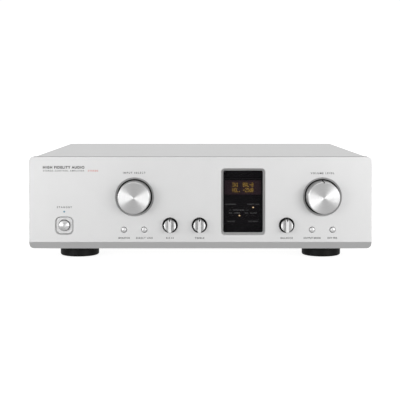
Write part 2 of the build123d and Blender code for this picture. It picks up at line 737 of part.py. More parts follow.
# ---------------------------------------------------------------- display
WINDOW_FRONT = FRONT + WINDOW_DEPTH
TUBE_WIDE, TUBE_HIGH = 47.6, 20.3
TUBE_UP = 18.6  # the tube's middle above the window's middle
TUBE_FRONT = WINDOW_FRONT + WINDOW_THICK + 0.4
TUBE_THICK = 5.6
with BuildPart() as display_window:
    with BuildSketch(facing(WINDOW_FRONT)):
        with Locations(DISPLAY_AT):
            Rectangle(VIEW_WIDE + 2 * WINDOW_MARGIN - 0.4, VIEW_HIGH + 2 * WINDOW_MARGIN - 0.4)
    extrude(amount=-WINDOW_THICK)
keep(display_window, "display_window")

with BuildPart() as display_tube:
    with BuildSketch(facing(TUBE_FRONT)):
        with Locations((DISPLAY_AT[0], DISPLAY_AT[1] + TUBE_UP)):
            RectangleRounded(TUBE_WIDE, TUBE_HIGH, 0.8)
    extrude(amount=-TUBE_THICK)
keep(display_tube, "display_tube")

DISPLAY_BOARD_FRONT = TUBE_FRONT + TUBE_THICK
with BuildPart() as display_board:
    with BuildSketch(facing(DISPLAY_BOARD_FRONT)):
        with Locations(DISPLAY_AT):
            Rectangle(VIEW_WIDE + 3, VIEW_HIGH + 3)
            with GridLocations(VIEW_WIDE - 3, VIEW_HIGH - 3, 2, 2):
                Circle(1.6, mode=Mode.SUBTRACT)
    extrude(amount=-BOARD_THICK)
    # indicator lamps under the lower half of the window
    with BuildSketch(facing(DISPLAY_BOARD_FRONT)):
        with Locations(DISPLAY_AT):
            for up in (-7.3, -17.8, -29.1):
                with Locations((-14.2, up), (12.8, up)):
                    Rectangle(2.4, 1.6)
            with Locations((-4.9, -17.8), (4.1, -17.8)):
                Rectangle(2.4, 1.6)
    extrude(amount=TUBE_THICK - 1.0)
keep(display_board, "display_board")

FRONT_BOARD_LOW, FRONT_BOARD_TOP = 26.0, 66.0
with BuildPart() as front_board:
    with BuildSketch(facing(BOARD_FRONT)):
        with Locations((-3.0, (FRONT_BOARD_LOW + FRONT_BOARD_TOP) / 2)):
            Rectangle(378.0, FRONT_BOARD_TOP - FRONT_BOARD_LOW)
            with GridLocations(360.0, 32.0, 2, 2):
                Circle(1.7, mode=Mode.SUBTRACT)
    extrude(amount=-BOARD_THICK)
keep(front_board, "front_board")

# ---------------------------------------------------------------- power supply
TRANSFORMER_AT = (-134.0, -62.0)
CORE_WIDE, CORE_DEEP, CORE_HIGH = 98.0, 44.0, 82.0
LEG = 32.0
BRACKET = 3.0
CORE_LOW = TRAY_TOP + BRACKET
with BuildPart() as transformer_bracket:
    with BuildSketch(Plane.XY.offset(TRAY_TOP)):
        with Locations(TRANSFORMER_AT):
            RectangleRounded(CORE_WIDE + 26, CORE_DEEP + 4, 4)
            with GridLocations(CORE_WIDE + 14, 30, 2, 2):
                Circle(2.2, mode=Mode.SUBTRACT)
    extrude(amount=BRACKET)
keep(transformer_bracket, "transformer_bracket")

WINDOW_WIDE = (CORE_WIDE - 2 * LEG) / 2
CORE_MIDDLE = CORE_LOW + CORE_HIGH / 2
WINDOW_TALL = CORE_HIGH - LEG
with BuildPart() as transformer_core:
    with BuildSketch(facing(TRANSFORMER_AT[1] + CORE_DEEP / 2)):
        with Locations((TRANSFORMER_AT[0], CORE_MIDDLE)):
            Rectangle(CORE_WIDE, CORE_HIGH)
            with GridLocations(LEG + WINDOW_WIDE, 1, 2, 1):
                Rectangle(WINDOW_WIDE, WINDOW_TALL, mode=Mode.SUBTRACT)
    extrude(amount=CORE_DEEP)
keep(transformer_core, "transformer_core")

COIL_GAP = 0.3
with BuildPart() as transformer_coil:
    with BuildSketch(Plane.XY.offset(CORE_MIDDLE - WINDOW_TALL / 2 + COIL_GAP)):
        with Locations(TRANSFORMER_AT):
            RectangleRounded(
                LEG + 2 * WINDOW_WIDE - 2 * COIL_GAP, CORE_DEEP + 2 * WINDOW_WIDE, 8.0
            )
            Rectangle(LEG + 2 * COIL_GAP, CORE_DEEP + 2 * COIL_GAP, mode=Mode.SUBTRACT)
    extrude(amount=WINDOW_TALL - 2 * COIL_GAP)
keep(transformer_coil, "transformer_coil")

STANDOFF = 9.0
BOARD_LOW = TRAY_TOP + STANDOFF
SUPPLY_AT = (-137.0, 78.0)
SUPPLY_WIDE, SUPPLY_DEEP = 132.0, 150.0
CAN_R, CAN_HIGH = 12.5, 50.0


def board_on_standoffs(at, wide, deep):
    """A circuit board on four round standoffs, for the part being built."""
    with Locations((*at, BOARD_LOW)):
        Box(wide, deep, BOARD_THICK, align=(Align.CENTER, Align.CENTER, Align.MIN))
    with Locations((*at, TRAY_TOP)):
        with GridLocations(wide - 10, deep - 10, 2, 2):
            Cylinder(3.0, STANDOFF, align=(Align.CENTER, Align.CENTER, Align.MIN))


with BuildPart() as power_supply_board:
    board_on_standoffs(SUPPLY_AT, SUPPLY_WIDE, SUPPLY_DEEP)
keep(power_supply_board, "power_supply_board")

CANS_AT = (SUPPLY_AT[0] - 14.0, SUPPLY_AT[1] - 20.0)
with BuildPart() as filter_capacitors:
    with BuildSketch(Plane.XY.offset(BOARD_LOW + BOARD_THICK)):
        with Locations(CANS_AT):
            with GridLocations(28.0, 28.0, 3, 3):
                Circle(CAN_R)
    extrude(amount=CAN_HIGH)
    fillet(filter_capacitors.faces().group_by(Axis.Z)[-1].edges(), radius=1.2)
keep(filter_capacitors, "filter_capacitors")

SINK_AT = (SUPPLY_AT[0] + 50.0, SUPPLY_AT[1])
with BuildPart() as regulator_heatsink:
    with BuildSketch(Plane.XY.offset(BOARD_LOW + BOARD_THICK)):
        with Locations(SINK_AT):
            with Locations((-9.0, 0)):
                Rectangle(4.0, 96.0)
            with Locations((1.0, 0)):
                with GridLocations(1, 8.0, 1, 12):
                    Rectangle(18.0, 1.8)
    extrude(amount=46.0)
keep(regulator_heatsink, "regulator_heatsink")

SHIELD_X = -62.0
with BuildPart() as centre_shield:
    with BuildSketch(Plane.YZ.offset(SHIELD_X)):
        with Locations((15.0, TRAY_TOP + 48.0)):
            Rectangle(330.0, 96.0)
            with Locations((-150.0, 20.0), (150.0, -30.0)):
                SlotOverall(24.0, 10.0, mode=Mode.SUBTRACT)
    extrude(amount=1.5)
keep(centre_shield, "centre_shield")

# ---------------------------------------------------------------- audio boards
AUDIO_X = (13.0, 142.0)
AUDIO_Y = 60.0
AUDIO_WIDE, AUDIO_DEEP = 118.0, 230.0
BOARD_TOP = BOARD_LOW + BOARD_THICK
with BuildPart() as audio_boards:
    for x in AUDIO_X:
        board_on_standoffs((x, AUDIO_Y), AUDIO_WIDE, AUDIO_DEEP)
keep(audio_boards, "audio_boards")

with BuildPart() as board_relays:
    for x in AUDIO_X:
        with Locations((x, AUDIO_Y + 66.0, BOARD_TOP)):
            with GridLocations(17.0, 26.0, 6, 2):
                Box(10.0, 20.0, 11.0, align=(Align.CENTER, Align.CENTER, Align.MIN))
keep(board_relays, "board_relays")

with BuildPart() as coupling_capacitors:
    with BuildSketch(Plane.XY.offset(BOARD_TOP)):
        for x in AUDIO_X:
            with Locations((x, AUDIO_Y - 40.0)):
                with GridLocations(21.0, 24.0, 5, 4):
                    Circle(6.2)
    extrude(amount=22.0)
keep(coupling_capacitors, "coupling_capacitors")

# flat cable from the front board down to the first audio board
RIBBON_X = 13.0
RIBBON_WIDE, RIBBON_THICK = 24.0, 0.9
RIBBON_START = BOARD_FRONT + BOARD_THICK
RIBBON_BEND = 6.0
ribbon_y = [RIBBON_START, RIBBON_START + 22.0, RIBBON_START + 58.0, AUDIO_Y - AUDIO_DEEP / 2 + 12.0]
ribbon_z = [58.0, 58.0, 44.0, BOARD_TOP]
with BuildPart() as ribbon_cable:
    with BuildSketch(Plane.YZ.offset(RIBBON_X - RIBBON_WIDE / 2)):
        with BuildLine() as ribbon_line:
            FilletPolyline(
                (ribbon_y[0], ribbon_z[0]),
                (ribbon_y[1], ribbon_z[1]),
                (ribbon_y[2], ribbon_z[2]),
                (ribbon_y[3], ribbon_z[2]),
                (ribbon_y[3], ribbon_z[3]),
                radius=RIBBON_BEND,
            )
            offset(amount=RIBBON_THICK, side=Side.LEFT)
        make_face()
    extrude(amount=RIBBON_WIDE)
keep(ribbon_cable, "ribbon_cable")

# ---------------------------------------------------------------- phono jacks
WASHER = 1.5
NUT_FACE = REAR_FACE + WASHER
PHONO_TIP = TOTAL_DEPTH / 2
PHONO_SPOTS = [(x, z) for x in PHONO_COLUMNS for z in (PHONO_TOP, PHONO_LOW)]
PHONO_BORE_R = 3.3
with BuildPart() as rca_jacks:
    with BuildSketch(facing(REAR_BACK - 6.0)):
        with Locations(*PHONO_SPOTS):
            Circle(PHONO_R)
    extrude(amount=-(PHONO_TIP - REAR_BACK + 6.0))
    with BuildSketch(facing(NUT_FACE)):
        with Locations(*PHONO_SPOTS):
            RegularPolygon(6.2, 6)
    extrude(amount=-1.8)
    with BuildSketch(facing(PHONO_TIP)):
        with Locations(*PHONO_SPOTS):
            Circle(PHONO_BORE_R)
    extrude(amount=8.0, mode=Mode.SUBTRACT)
keep(rca_jacks, "rca_jacks")

for name, height in (("rca_rings_left", PHONO_TOP), ("rca_rings_right", PHONO_LOW)):
    spots = [(x, height) for x in PHONO_COLUMNS]
    with BuildPart() as rings:
        with BuildSketch(facing(REAR_FACE)):
            with Locations(*spots):
                Circle(7.2)
                Circle(PHONO_R + 0.05, mode=Mode.SUBTRACT)
        extrude(amount=-WASHER)
        with BuildSketch(facing(PHONO_TIP - 0.6)):
            with Locations(*spots):
                Circle(PHONO_BORE_R - 0.05)
                Circle(1.6, mode=Mode.SUBTRACT)
        extrude(amount=7.4)
    keep(rings, name)

# ---------------------------------------------------------------- balanced sockets
XLR_FLANGE = 1.6
XLR_FLOOR = 2.0
FEMALE_R, INSERT_R = 9.6, 6.9
MALE_R = 8.2
CONTACT_CIRCLE = 3.9
CONTACT_R = 1.2
MALE_PIN_TIP = XLR_MOUTH - 5.4
for name, columns, cavity in (
    ("xlr_inputs", XLR_IN_X, FEMALE_R),
    ("xlr_outputs", XLR_OUT_X, MALE_R),
):
    spots = [(x, XLR_HEIGHT) for x in columns]
    with BuildPart() as sockets:
        with BuildSketch(facing(REAR_FACE)):
            with Locations(*spots):
                RectangleRounded(XLR_WIDE, XLR_HIGH, 2.5)
                with Locations((-XLR_SCREW[0], XLR_SCREW[1]), (XLR_SCREW[0], -XLR_SCREW[1])):
                    Circle(SCREW_R + RUNNING, mode=Mode.SUBTRACT)
        extrude(amount=-XLR_FLANGE)
        with BuildSketch(facing(XLR_INNER)):
            with Locations(*spots):
                Circle(XLR_R)
        extrude(amount=-(XLR_MOUTH - XLR_INNER))
        with BuildSketch(facing(XLR_MOUTH)):
            with Locations(*spots):
                Circle(cavity)
        extrude(amount=XLR_MOUTH - XLR_INNER - XLR_FLOOR, mode=Mode.SUBTRACT)
        if name == "xlr_inputs":
            with BuildSketch(facing(XLR_INNER + XLR_FLOOR)):
                with Locations(*spots):
                    Circle(INSERT_R)
                    with PolarLocations(CONTACT_CIRCLE, 3, start_angle=90.0):
                        Circle(CONTACT_R + 0.1, mode=Mode.SUBTRACT)
            extrude(amount=XLR_MOUTH - XLR_INNER - XLR_FLOOR - 2.0)
    keep(sockets, name)

# ---------------------------------------------------------------- mains inlet
INLET_WIDE, INLET_HIGH = 24.6, 16.8
INLET_INNER = REAR_FACE - 18.0
INLET_FLOOR = REAR_FACE - 14.5
BLADES = ((-7.0, -2.0), (7.0, -2.0), (0.0, 2.2))
with BuildPart() as ac_inlet:
    with BuildSketch(facing(REAR_FACE)):
        with Locations(INLET_AT):
            RectangleRounded(2 * INLET_EAR + 10.0, 23.0, 4.0)
            with Locations((-INLET_EAR, 0), (INLET_EAR, 0)):
                Circle(SCREW_R + RUNNING, mode=Mode.SUBTRACT)
    extrude(amount=-(INLET_MOUTH - REAR_FACE))
    with BuildSketch(facing(INLET_INNER)):
        with Locations(INLET_AT):
            Rectangle(28.0, 20.0)
    extrude(amount=-(INLET_MOUTH - INLET_INNER))
    with BuildSketch(facing(INLET_MOUTH)) as inlet_hole:
        with Locations(INLET_AT):
            Rectangle(INLET_WIDE, INLET_HIGH)
        chamfer(inlet_hole.vertices().group_by(Axis.Y)[-1], length=4.5)
    extrude(amount=INLET_MOUTH - INLET_FLOOR, mode=Mode.SUBTRACT)
keep(ac_inlet, "ac_inlet")

# contact pins of the balanced outputs and of the mains inlet
with BuildPart() as socket_pins:
    with BuildSketch(facing(XLR_INNER + XLR_FLOOR)):
        with Locations(*((x, XLR_HEIGHT) for x in XLR_OUT_X)):
            with PolarLocations(CONTACT_CIRCLE, 3, start_angle=90.0):
                Circle(CONTACT_R)
    extrude(amount=-(MALE_PIN_TIP - XLR_INNER - XLR_FLOOR))
    with BuildSketch(facing(INLET_FLOOR)):
        with Locations(INLET_AT):
            with Locations(*BLADES):
                Rectangle(2.0, 4.0)
    extrude(amount=-(INLET_MOUTH - INLET_FLOOR - 2.0))
keep(socket_pins, "socket_pins")

# ---------------------------------------------------------------- ground terminal and control jacks
with BuildPart() as ground_post:
    with BuildSketch(turning(GROUND_AT)):
        with BuildLine():
            Polyline(
                (0, REAR_BACK - 6.0),
                (2.0, REAR_BACK - 6.0),
                (2.0, REAR_FACE),
                (6.0, REAR_FACE),
                (6.0, REAR_FACE + 1.2),
                (2.0, REAR_FACE + 1.2),
                (2.0, REAR_FACE + 2.4),
                (5.4, REAR_FACE + 2.4),
                (5.4, REAR_FACE + 7.6),
                (4.8, REAR_FACE + 8.2),
                (0, REAR_FACE + 8.2),
                close=True,
            )
        make_face()
    revolve(axis=axis_of(GROUND_AT))
    with BuildSketch(facing(REAR_FACE + 2.4)):
        with Locations(GROUND_AT):
            with PolarLocations(5.6, 20):
                Circle(0.45)
    extrude(amount=-6.0, mode=Mode.SUBTRACT)
keep(ground_post, "ground_post")

JACK_LONG = 14.0
JACK_FACE = REAR_FACE + 1.4
with BuildPart() as control_jacks:
    with BuildSketch(facing(REAR_FACE)):
        with Locations(*JACKS_AT):
            Circle(4.4)
    extrude(amount=-(JACK_FACE - REAR_FACE))
    with BuildSketch(facing(REAR_BACK)):
        with Locations(*JACKS_AT):
            Circle(3.1)
    extrude(amount=-(REAR_FACE - REAR_BACK))
    with BuildSketch(facing(REAR_BACK - GAP)):
        with Locations(*JACKS_AT):
            Rectangle(9.0, 10.0)
    extrude(amount=JACK_LONG)
    with BuildSketch(facing(REAR_BACK)):
        with Locations(*JACKS_AT):
            Circle(3.1)
    extrude(amount=GAP)
    with BuildSketch(facing(JACK_FACE)):
        with Locations(*JACKS_AT):
            Circle(JACK_BORE_R)
    extrude(amount=JACK_LONG, mode=Mode.SUBTRACT)
keep(control_jacks, "control_jacks")
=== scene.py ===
"""Looks, light and camera for the stereo control amplifier. Metres, in the row frame."""

from math import radians

import bmesh
import bpy
from mathutils import Matrix, Vector


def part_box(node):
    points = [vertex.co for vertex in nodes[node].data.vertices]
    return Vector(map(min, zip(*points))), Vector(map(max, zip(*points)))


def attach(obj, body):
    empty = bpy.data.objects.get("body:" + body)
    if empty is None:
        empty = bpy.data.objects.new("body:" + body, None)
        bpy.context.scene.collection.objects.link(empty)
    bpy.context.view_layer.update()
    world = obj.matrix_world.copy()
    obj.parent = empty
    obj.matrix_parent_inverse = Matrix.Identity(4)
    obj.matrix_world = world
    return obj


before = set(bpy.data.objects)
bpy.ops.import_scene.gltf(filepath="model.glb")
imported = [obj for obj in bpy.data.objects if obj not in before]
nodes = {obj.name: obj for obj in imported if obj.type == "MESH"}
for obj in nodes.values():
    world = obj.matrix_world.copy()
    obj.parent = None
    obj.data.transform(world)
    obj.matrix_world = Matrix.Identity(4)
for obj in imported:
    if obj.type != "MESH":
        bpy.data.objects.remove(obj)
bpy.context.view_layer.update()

MM = 0.001
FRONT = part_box("front_panel")[0][1]
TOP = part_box("front_panel")[1][2]
REAR_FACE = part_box("rear_panel")[1][1]
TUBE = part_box("display_tube")
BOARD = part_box("display_board")

# sockets of a colour Mix node
MIX_A, MIX_B, MIX_RESULT = 6, 7, 2


def axis_of(name):
    """Middle of a node's box, as x and z."""
    low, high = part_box(name)
    return (low[0] + high[0]) / 2, (low[2] + high[2]) / 2


# ---------------------------------------------------------------- material helpers
class Shader:
    """A Principled material with its node tree at hand."""

    def __init__(self, name, **sockets):
        self.mat = bpy.data.materials.new(name)
        self.mat.use_nodes = True
        self.tree = self.mat.node_tree
        self.bsdf = self.tree.nodes["Principled BSDF"]
        for key, value in sockets.items():
            self.bsdf.inputs[key.replace("_", " ")].default_value = value

    def node(self, kind, inputs=(), **settings):
        made = self.tree.nodes.new(kind)
        for key, value in settings.items():
            setattr(made, key, value)
        for key, value in dict(inputs).items():
            if isinstance(value, bpy.types.NodeSocket):
                self.tree.links.new(value, made.inputs[key])
            else:
                made.inputs[key].default_value = value
        return made

    def link(self, source, target):
        self.tree.links.new(source, self.bsdf.inputs[target])

    def place(self, at=(0, 0, 0), scale=(1, 1, 1)):
        """Object coordinates, moved so that `at` is their origin, then scaled."""
        where = self.node("ShaderNodeTexCoord").outputs["Object"]
        moved = self.node("ShaderNodeVectorMath", {0: where, 1: at}, operation="SUBTRACT").outputs[0]
        return self.node("ShaderNodeVectorMath", {0: moved, 1: scale}, operation="MULTIPLY").outputs[0]

    def noise(self, vector, scale, detail=3.0, roughness=0.6):
        inputs = {"Vector": vector, "Scale": scale, "Detail": detail, "Roughness": roughness}
        return self.node("ShaderNodeTexNoise", inputs).outputs["Fac"]

    def spread(self, value, low, high):
        """Maps a noise of about 0.3 to 0.7 onto low to high."""
        inputs = {"Value": value, "From Min": 0.3, "From Max": 0.7, "To Min": low, "To Max": high}
        return self.node("ShaderNodeMapRange", inputs).outputs["Result"]

    def tint(self, value, dark, light):
        made = self.node("ShaderNodeMix", {"Factor": value}, data_type="RGBA")
        made.inputs[MIX_A].default_value = (*dark, 1)
        made.inputs[MIX_B].default_value = (*light, 1)
        return made.outputs[MIX_RESULT]

    def mean(self, first, second):
        both = self.node("ShaderNodeMath", {0: first, 1: second}, operation="ADD").outputs[0]
        return self.node("ShaderNodeMath", {0: both, 1: 0.5}, operation="MULTIPLY").outputs[0]

    def bump(self, height, distance, strength=1.0, normal=None):
        inputs = {"Height": height, "Distance": distance, "Strength": strength}
        if normal:
            inputs["Normal"] = normal
        return self.node("ShaderNodeBump", inputs).outputs["Normal"]


def shade(colour, factor):
    return tuple(c * factor for c in colour)


def grained(
    name, colour, roughness, scale,
    grain=0.00002, vary=0.04, rough_vary=0.05, stretch=(1, 1, 1), **sockets,
):
    """A surface with fine grain at `scale` per metre and slow changes of tone and gloss."""
    s = Shader(name, **sockets)
    where = s.place(scale=stretch)
    fine = s.noise(where, scale)
    slow = s.noise(where, scale * 0.02 + 6.0, 2.0)
    half = s.mean(fine, slow)
    s.link(s.tint(s.spread(half, 0, 1), shade(colour, 1 - vary), shade(colour, 1 + vary)), "Base Color")
    s.link(s.spread(fine, roughness - rough_vary, roughness + rough_vary), "Roughness")
    s.link(s.bump(fine, grain), "Normal")
    return s.mat


def painted_facing_shade(s, stops, toward):
    """Painted shade: a grey tone set by how far a face points along toward; stops are (cosine, tone) pairs.
    """
    normal = s.node("ShaderNodeNewGeometry").outputs["Normal"]
    ahead = s.node("ShaderNodeVectorMath", {0: normal, 1: toward}, operation="DOT_PRODUCT").outputs["Value"]
    tone = s.node("ShaderNodeValToRGB", {"Fac": ahead})
    elements = tone.color_ramp.elements
    while len(elements) < len(stops):
        elements.new(0.5)
    for element, (position, value) in zip(elements, stops):
        element.position = position
        element.color = (value, value, value, 1)
    return tone.outputs[0]


def times(s, colour, tone):
    made = s.node("ShaderNodeMix", {"Factor": 1.0}, data_type="RGBA", blend_type="MULTIPLY")
    s.tree.links.new(colour, made.inputs[MIX_A])
    s.tree.links.new(tone, made.inputs[MIX_B])
    return made.outputs[MIX_RESULT]


def facing_shaded_metal(name, colour, roughness, scale, stops, toward=(0, -1, 0), **sockets):
    """Blasted or painted metal with painted shade: faces are darker the further they turn from one direction.
    """
    s = Shader(name, **sockets)
    where = s.place()
    fine = s.noise(where, scale)
    slow = s.noise(where, 40.0, 2.0)
    half = s.mean(fine, slow)
    blast = s.tint(s.spread(half, 0, 1), shade(colour, 0.985), shade(colour, 1.015))
    # painted shade by facing multiplies the blasted colour
    s.link(times(s, blast, painted_facing_shade(s, stops, toward)), "Base Color")
    s.link(s.spread(fine, roughness - 0.05, roughness + 0.05), "Roughness")
    s.link(s.bump(fine, 0.00003), "Normal")
    return s.mat


# painted shade: darker where a knob or button face turns from the front
SIDES_PAINTED_SHADE = ((0.0, 0.5), (0.25, 0.5), (0.45, 1.0), (1.0, 1.0))


def turned(name, at, colour, roughness, anisotropy):
    """Aluminium turned on a lathe about the axis through at, with its fine rings, and painted shade on sides
    that turn from the front.
    """
    s = Shader(name, Metallic=1.0, Anisotropic=anisotropy, Anisotropic_Rotation=0.25)
    where = s.place((at[0], 0, at[1]))
    squares = s.node("ShaderNodeVectorMath", {0: where, 1: (1, 0, 1)}, operation="MULTIPLY").outputs[0]
    radius = s.node("ShaderNodeVectorMath", {0: squares}, operation="LENGTH").outputs["Value"]
    rings = s.node("ShaderNodeCombineXYZ", {0: radius})
    fine = s.noise(rings.outputs[0], 9000.0, 2.0)
    wide = s.noise(rings.outputs[0], 900.0, 2.0)
    rung = s.tint(s.spread(wide, 0, 1), shade(colour, 0.95), shade(colour, 1.03))
    s.link(times(s, rung, painted_facing_shade(s, SIDES_PAINTED_SHADE, (0, -1, 0))), "Base Color")
    s.link(s.spread(fine, roughness - 0.03, roughness + 0.03), "Roughness")
    s.link(s.bump(fine, 0.000004), "Normal")
    s.link(s.node("ShaderNodeTangent", direction_type="RADIAL", axis="Y").outputs[0], "Tangent")
    return s.mat


def shade_lined_well(name, mouth, painted_shade_inside, y):
    """A well's liner with painted shade: a grey turned mouth, darker than the panel, down to depth y, and
    painted black shade further in where the well is only in shadow.
    """
    s = Shader(name, Metallic=0.4, Roughness=0.45)
    where = s.place((0, y, 0))
    deep = s.node("ShaderNodeSeparateXYZ", {0: where}).outputs["Y"]
    step = s.node("ShaderNodeMapRange", {"Value": deep, "From Min": -0.0001, "From Max": 0.0001}).outputs[0]
    fine = s.noise(where, 2500.0)
    inputs = {0: s.tint(step, mouth, painted_shade_inside), 1: s.spread(fine, 0.94, 1.06)}
    s.link(s.node("ShaderNodeVectorMath", inputs, operation="MULTIPLY").outputs[0], "Base Color")
    s.link(s.bump(fine, 0.00001), "Normal")
    return s.mat


def glowing(name, colour, strength):
    """A lit lamp or display dot, a little uneven."""
    s = Shader(name, Roughness=0.4, Emission_Strength=strength)
    glow = s.spread(s.noise(s.place(), 700.0), 0, 1)
    s.link(s.tint(glow, shade(colour, 0.85), colour), "Emission Color")
    s.link(s.tint(glow, shade(colour, 0.3), shade(colour, 0.4)), "Base Color")
    return s.mat


# ---------------------------------------------------------------- materials of the CAD nodes
# painted shade for the panel, the power bezel's dish, the grips and the cover: tone by facing, darker on
# edges, walls and sides
PANEL_PAINTED_SHADE = (
    (0.0, 0.60), (0.44, 0.60), (0.48, 0.98), (0.60, 0.98),
    (0.65, 0.60), (0.75, 0.60), (0.82, 0.92), (0.97, 1.0),
)
DISH_PAINTED_SHADE = ((0.0, 0.80), (0.7, 0.80), (0.9, 0.97), (1.0, 1.0))
GRIP_PAINTED_SHADE = ((0.0, 0.42), (0.45, 0.52), (0.85, 0.72), (0.98, 0.94))
COVER_PAINTED_SHADE = ((0.0, 0.90), (0.5, 0.72), (0.93, 0.72), (0.995, 1.0))
panel = facing_shaded_metal("blasted_aluminium", (0.70, 0.70, 0.70), 0.52, 2600.0, PANEL_PAINTED_SHADE, Metallic=0.85)
dish = facing_shaded_metal("bezel_aluminium", (0.66, 0.66, 0.66), 0.5, 2600.0, DISH_PAINTED_SHADE, Metallic=0.8)
grip = facing_shaded_metal("grip_aluminium", (0.92, 0.92, 0.92), 0.42, 3000.0, GRIP_PAINTED_SHADE, Metallic=0.9)
cover = facing_shaded_metal(
    "cover_paint", (0.635, 0.635, 0.635), 0.55, 2200.0,
    COVER_PAINTED_SHADE, toward=(0, 0, 1), Metallic=0.35,
)
zinc = grained(
    "zinc_steel", (0.62, 0.62, 0.60), 0.34, 500.0,
    grain=0.00001, vary=0.06, stretch=(0.15, 1, 1), Metallic=1.0,
)
rear = grained("rear_paint", (0.45, 0.455, 0.46), 0.48, 1800.0, grain=0.00003, vary=0.03, Metallic=0.35)
plated = grained("plated_steel", (0.66, 0.65, 0.62), 0.25, 1500.0, vary=0.05, Metallic=1.0)
# painted shade: black inside the knob wells, with a mouth darker than the panel
well_painted_shade = shade_lined_well("well_liner_painted_shade", (0.55, 0.55, 0.55), (0.012, 0.012, 0.012), FRONT + 0.0021)
small_well_painted_shade = shade_lined_well("small_well_liner_painted_shade", (0.02, 0.02, 0.02), (0.006, 0.006, 0.006), FRONT + 0.0015)
foot_black = grained(
    "foot_plastic", (0.003, 0.003, 0.003), 0.45, 1600.0,
    grain=0.00006, vary=0.2, Specular_IOR_Level=0.16,
)
felt = grained("pad_felt", (0.03, 0.03, 0.032), 0.95, 2500.0, grain=0.0002, vary=0.4, Sheen_Weight=0.4)
moulded = grained("moulded_black", (0.025, 0.025, 0.027), 0.38, 1800.0, grain=0.00004, vary=0.15)
resist = grained("circuit_board", (0.02, 0.13, 0.06), 0.35, 400.0, vary=0.25)
black_resist = grained("display_board_black", (0.006, 0.006, 0.007), 0.7, 900.0, vary=0.2)
core = grained(
    "core_steel", (0.16, 0.15, 0.14), 0.5, 900.0,
    grain=0.0001, vary=0.15, stretch=(0.1, 3, 0.1), Metallic=0.6,
)
winding = grained("winding", (0.50, 0.30, 0.08), 0.45, 700.0, vary=0.2, stretch=(0.2, 0.2, 2))
sleeve = grained("can_sleeve", (0.03, 0.04, 0.12), 0.3, 600.0, vary=0.1)
film = grained("film_sleeve", (0.42, 0.08, 0.03), 0.35, 600.0, vary=0.1)
black_metal = grained("black_aluminium", (0.03, 0.03, 0.03), 0.4, 1200.0, vary=0.15, Metallic=0.7)
ribbon = grained("cable_grey", (0.38, 0.39, 0.40), 0.5, 500.0, grain=0.0002, vary=0.08, stretch=(2, 0.1, 0.1))
gold = grained("gold_plate", (0.90, 0.66, 0.28), 0.22, 1500.0, vary=0.05, Metallic=1.0)
white_ring = grained("ring_white", (0.78, 0.78, 0.76), 0.35, 900.0, vary=0.04)
red_ring = grained("ring_red", (0.40, 0.006, 0.010), 0.35, 900.0, vary=0.08)
smoke = grained(
    "smoked_window", (0.004, 0.0035, 0.0045), 0.08, 300.0,
    grain=0.000001, vary=0.1, rough_vary=0.02, Alpha=0.42, Specular_IOR_Level=0.07,
)
tube_glass = grained("tube_glass", (0.085, 0.036, 0.052), 0.4, 1200.0, vary=0.2)
lamp = glowing("lamp_blue", (0.16, 0.30, 0.38), 0.6)

paint = {
    panel: ["front_panel"],
    cover: ["top_cover"],
    rear: ["rear_panel"],
    zinc: ["sub_panel", "chassis_base", "transformer_bracket", "centre_shield"],
    plated: [
        "case_screws", "foot_screws", "input_shaft", "volume_shaft", "bass_shaft",
        "treble_shaft", "balance_shaft", "control_nuts",
    ],
    dish: ["power_bezel"],
    grip: ["bass_knob", "treble_knob", "balance_knob"],
    well_painted_shade: ["main_knob_wells"],
    small_well_painted_shade: ["tone_knob_wells"],
    foot_black: ["foot_front_left", "foot_front_right", "foot_rear_left", "foot_rear_right"],
    felt: ["foot_pads"],
    moulded: [
        "input_encoder", "volume_control", "tone_potentiometers", "push_switches", "board_relays",
        "xlr_inputs", "xlr_outputs", "ac_inlet", "control_jacks",
    ],
    resist: ["front_board", "power_supply_board", "audio_boards"],
    black_resist: ["display_board"],
    core: ["transformer_core"],
    winding: ["transformer_coil"],
    sleeve: ["filter_capacitors"],
    film: ["coupling_capacitors"],
    black_metal: ["regulator_heatsink"],
    ribbon: ["ribbon_cable"],
    gold: ["rca_jacks", "ground_post", "socket_pins"],
    white_ring: ["rca_rings_left"],
    red_ring: ["rca_rings_right"],
    smoke: ["display_window"],
    tube_glass: ["display_tube"],
    lamp: ["power_light_guide"],
}
for name, gloss, anisotropy, tone in (
    ("input_knob", 0.44, 0.9, 0.75), ("volume_knob", 0.44, 0.9, 0.77), ("power_button", 0.45, 0.8, 0.78),
    ("monitor_button", 0.5, 0.4, 0.72), ("direct_button", 0.5, 0.4, 0.72), ("mode_button", 0.5, 0.4, 0.74),
    ("external_button", 0.5, 0.4, 0.74),
):
    centre = axis_of(name)
    if name == "volume_knob":  # its groove makes its box uneven
        centre = (centre[0], axis_of("input_knob")[1])
    paint[turned(name + "_turned", centre, (tone, tone, tone), gloss, anisotropy)] = [name]

for material, names in paint.items():
    for name in names:
        mesh = nodes[name].data
        mesh.materials.clear()
        mesh.materials.append(material)
for node in nodes.values():
    node.data.shade_smooth()
    node.data.set_sharp_from_angle(angle=radians(24))


# ---------------------------------------------------------------- print and display pieces
def piece(name, bm, material, body):
    mesh = bpy.data.meshes.new(name)
    bm.normal_update()
    bm.to_mesh(mesh)
    bm.free()
    made = bpy.data.objects.new(name, mesh)
    bpy.context.collection.objects.link(made)
    mesh.materials.append(material)
    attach(made, body)
    return made


def letters(text, spacing, bold):
    """Mesh of a line of text one unit high, centred on its own width and cap height."""
    curve = bpy.data.curves.new("text", "FONT")
    curve.body = text
    curve.space_character = spacing
    curve.extrude = 0.02
    curve.offset = bold
    temporary = bpy.data.objects.new("text", curve)
    bpy.context.collection.objects.link(temporary)
    bpy.context.view_layer.update()
    mesh = bpy.data.meshes.new_from_object(temporary)
    bpy.data.objects.remove(temporary)
    xs = [v.co.x for v in mesh.vertices]
    ys = [v.co.y for v in mesh.vertices]
    return mesh, min(xs), max(xs), min(ys), max(ys)


PRINT_OUT, PRINT_IN = 0.00004, -0.00002


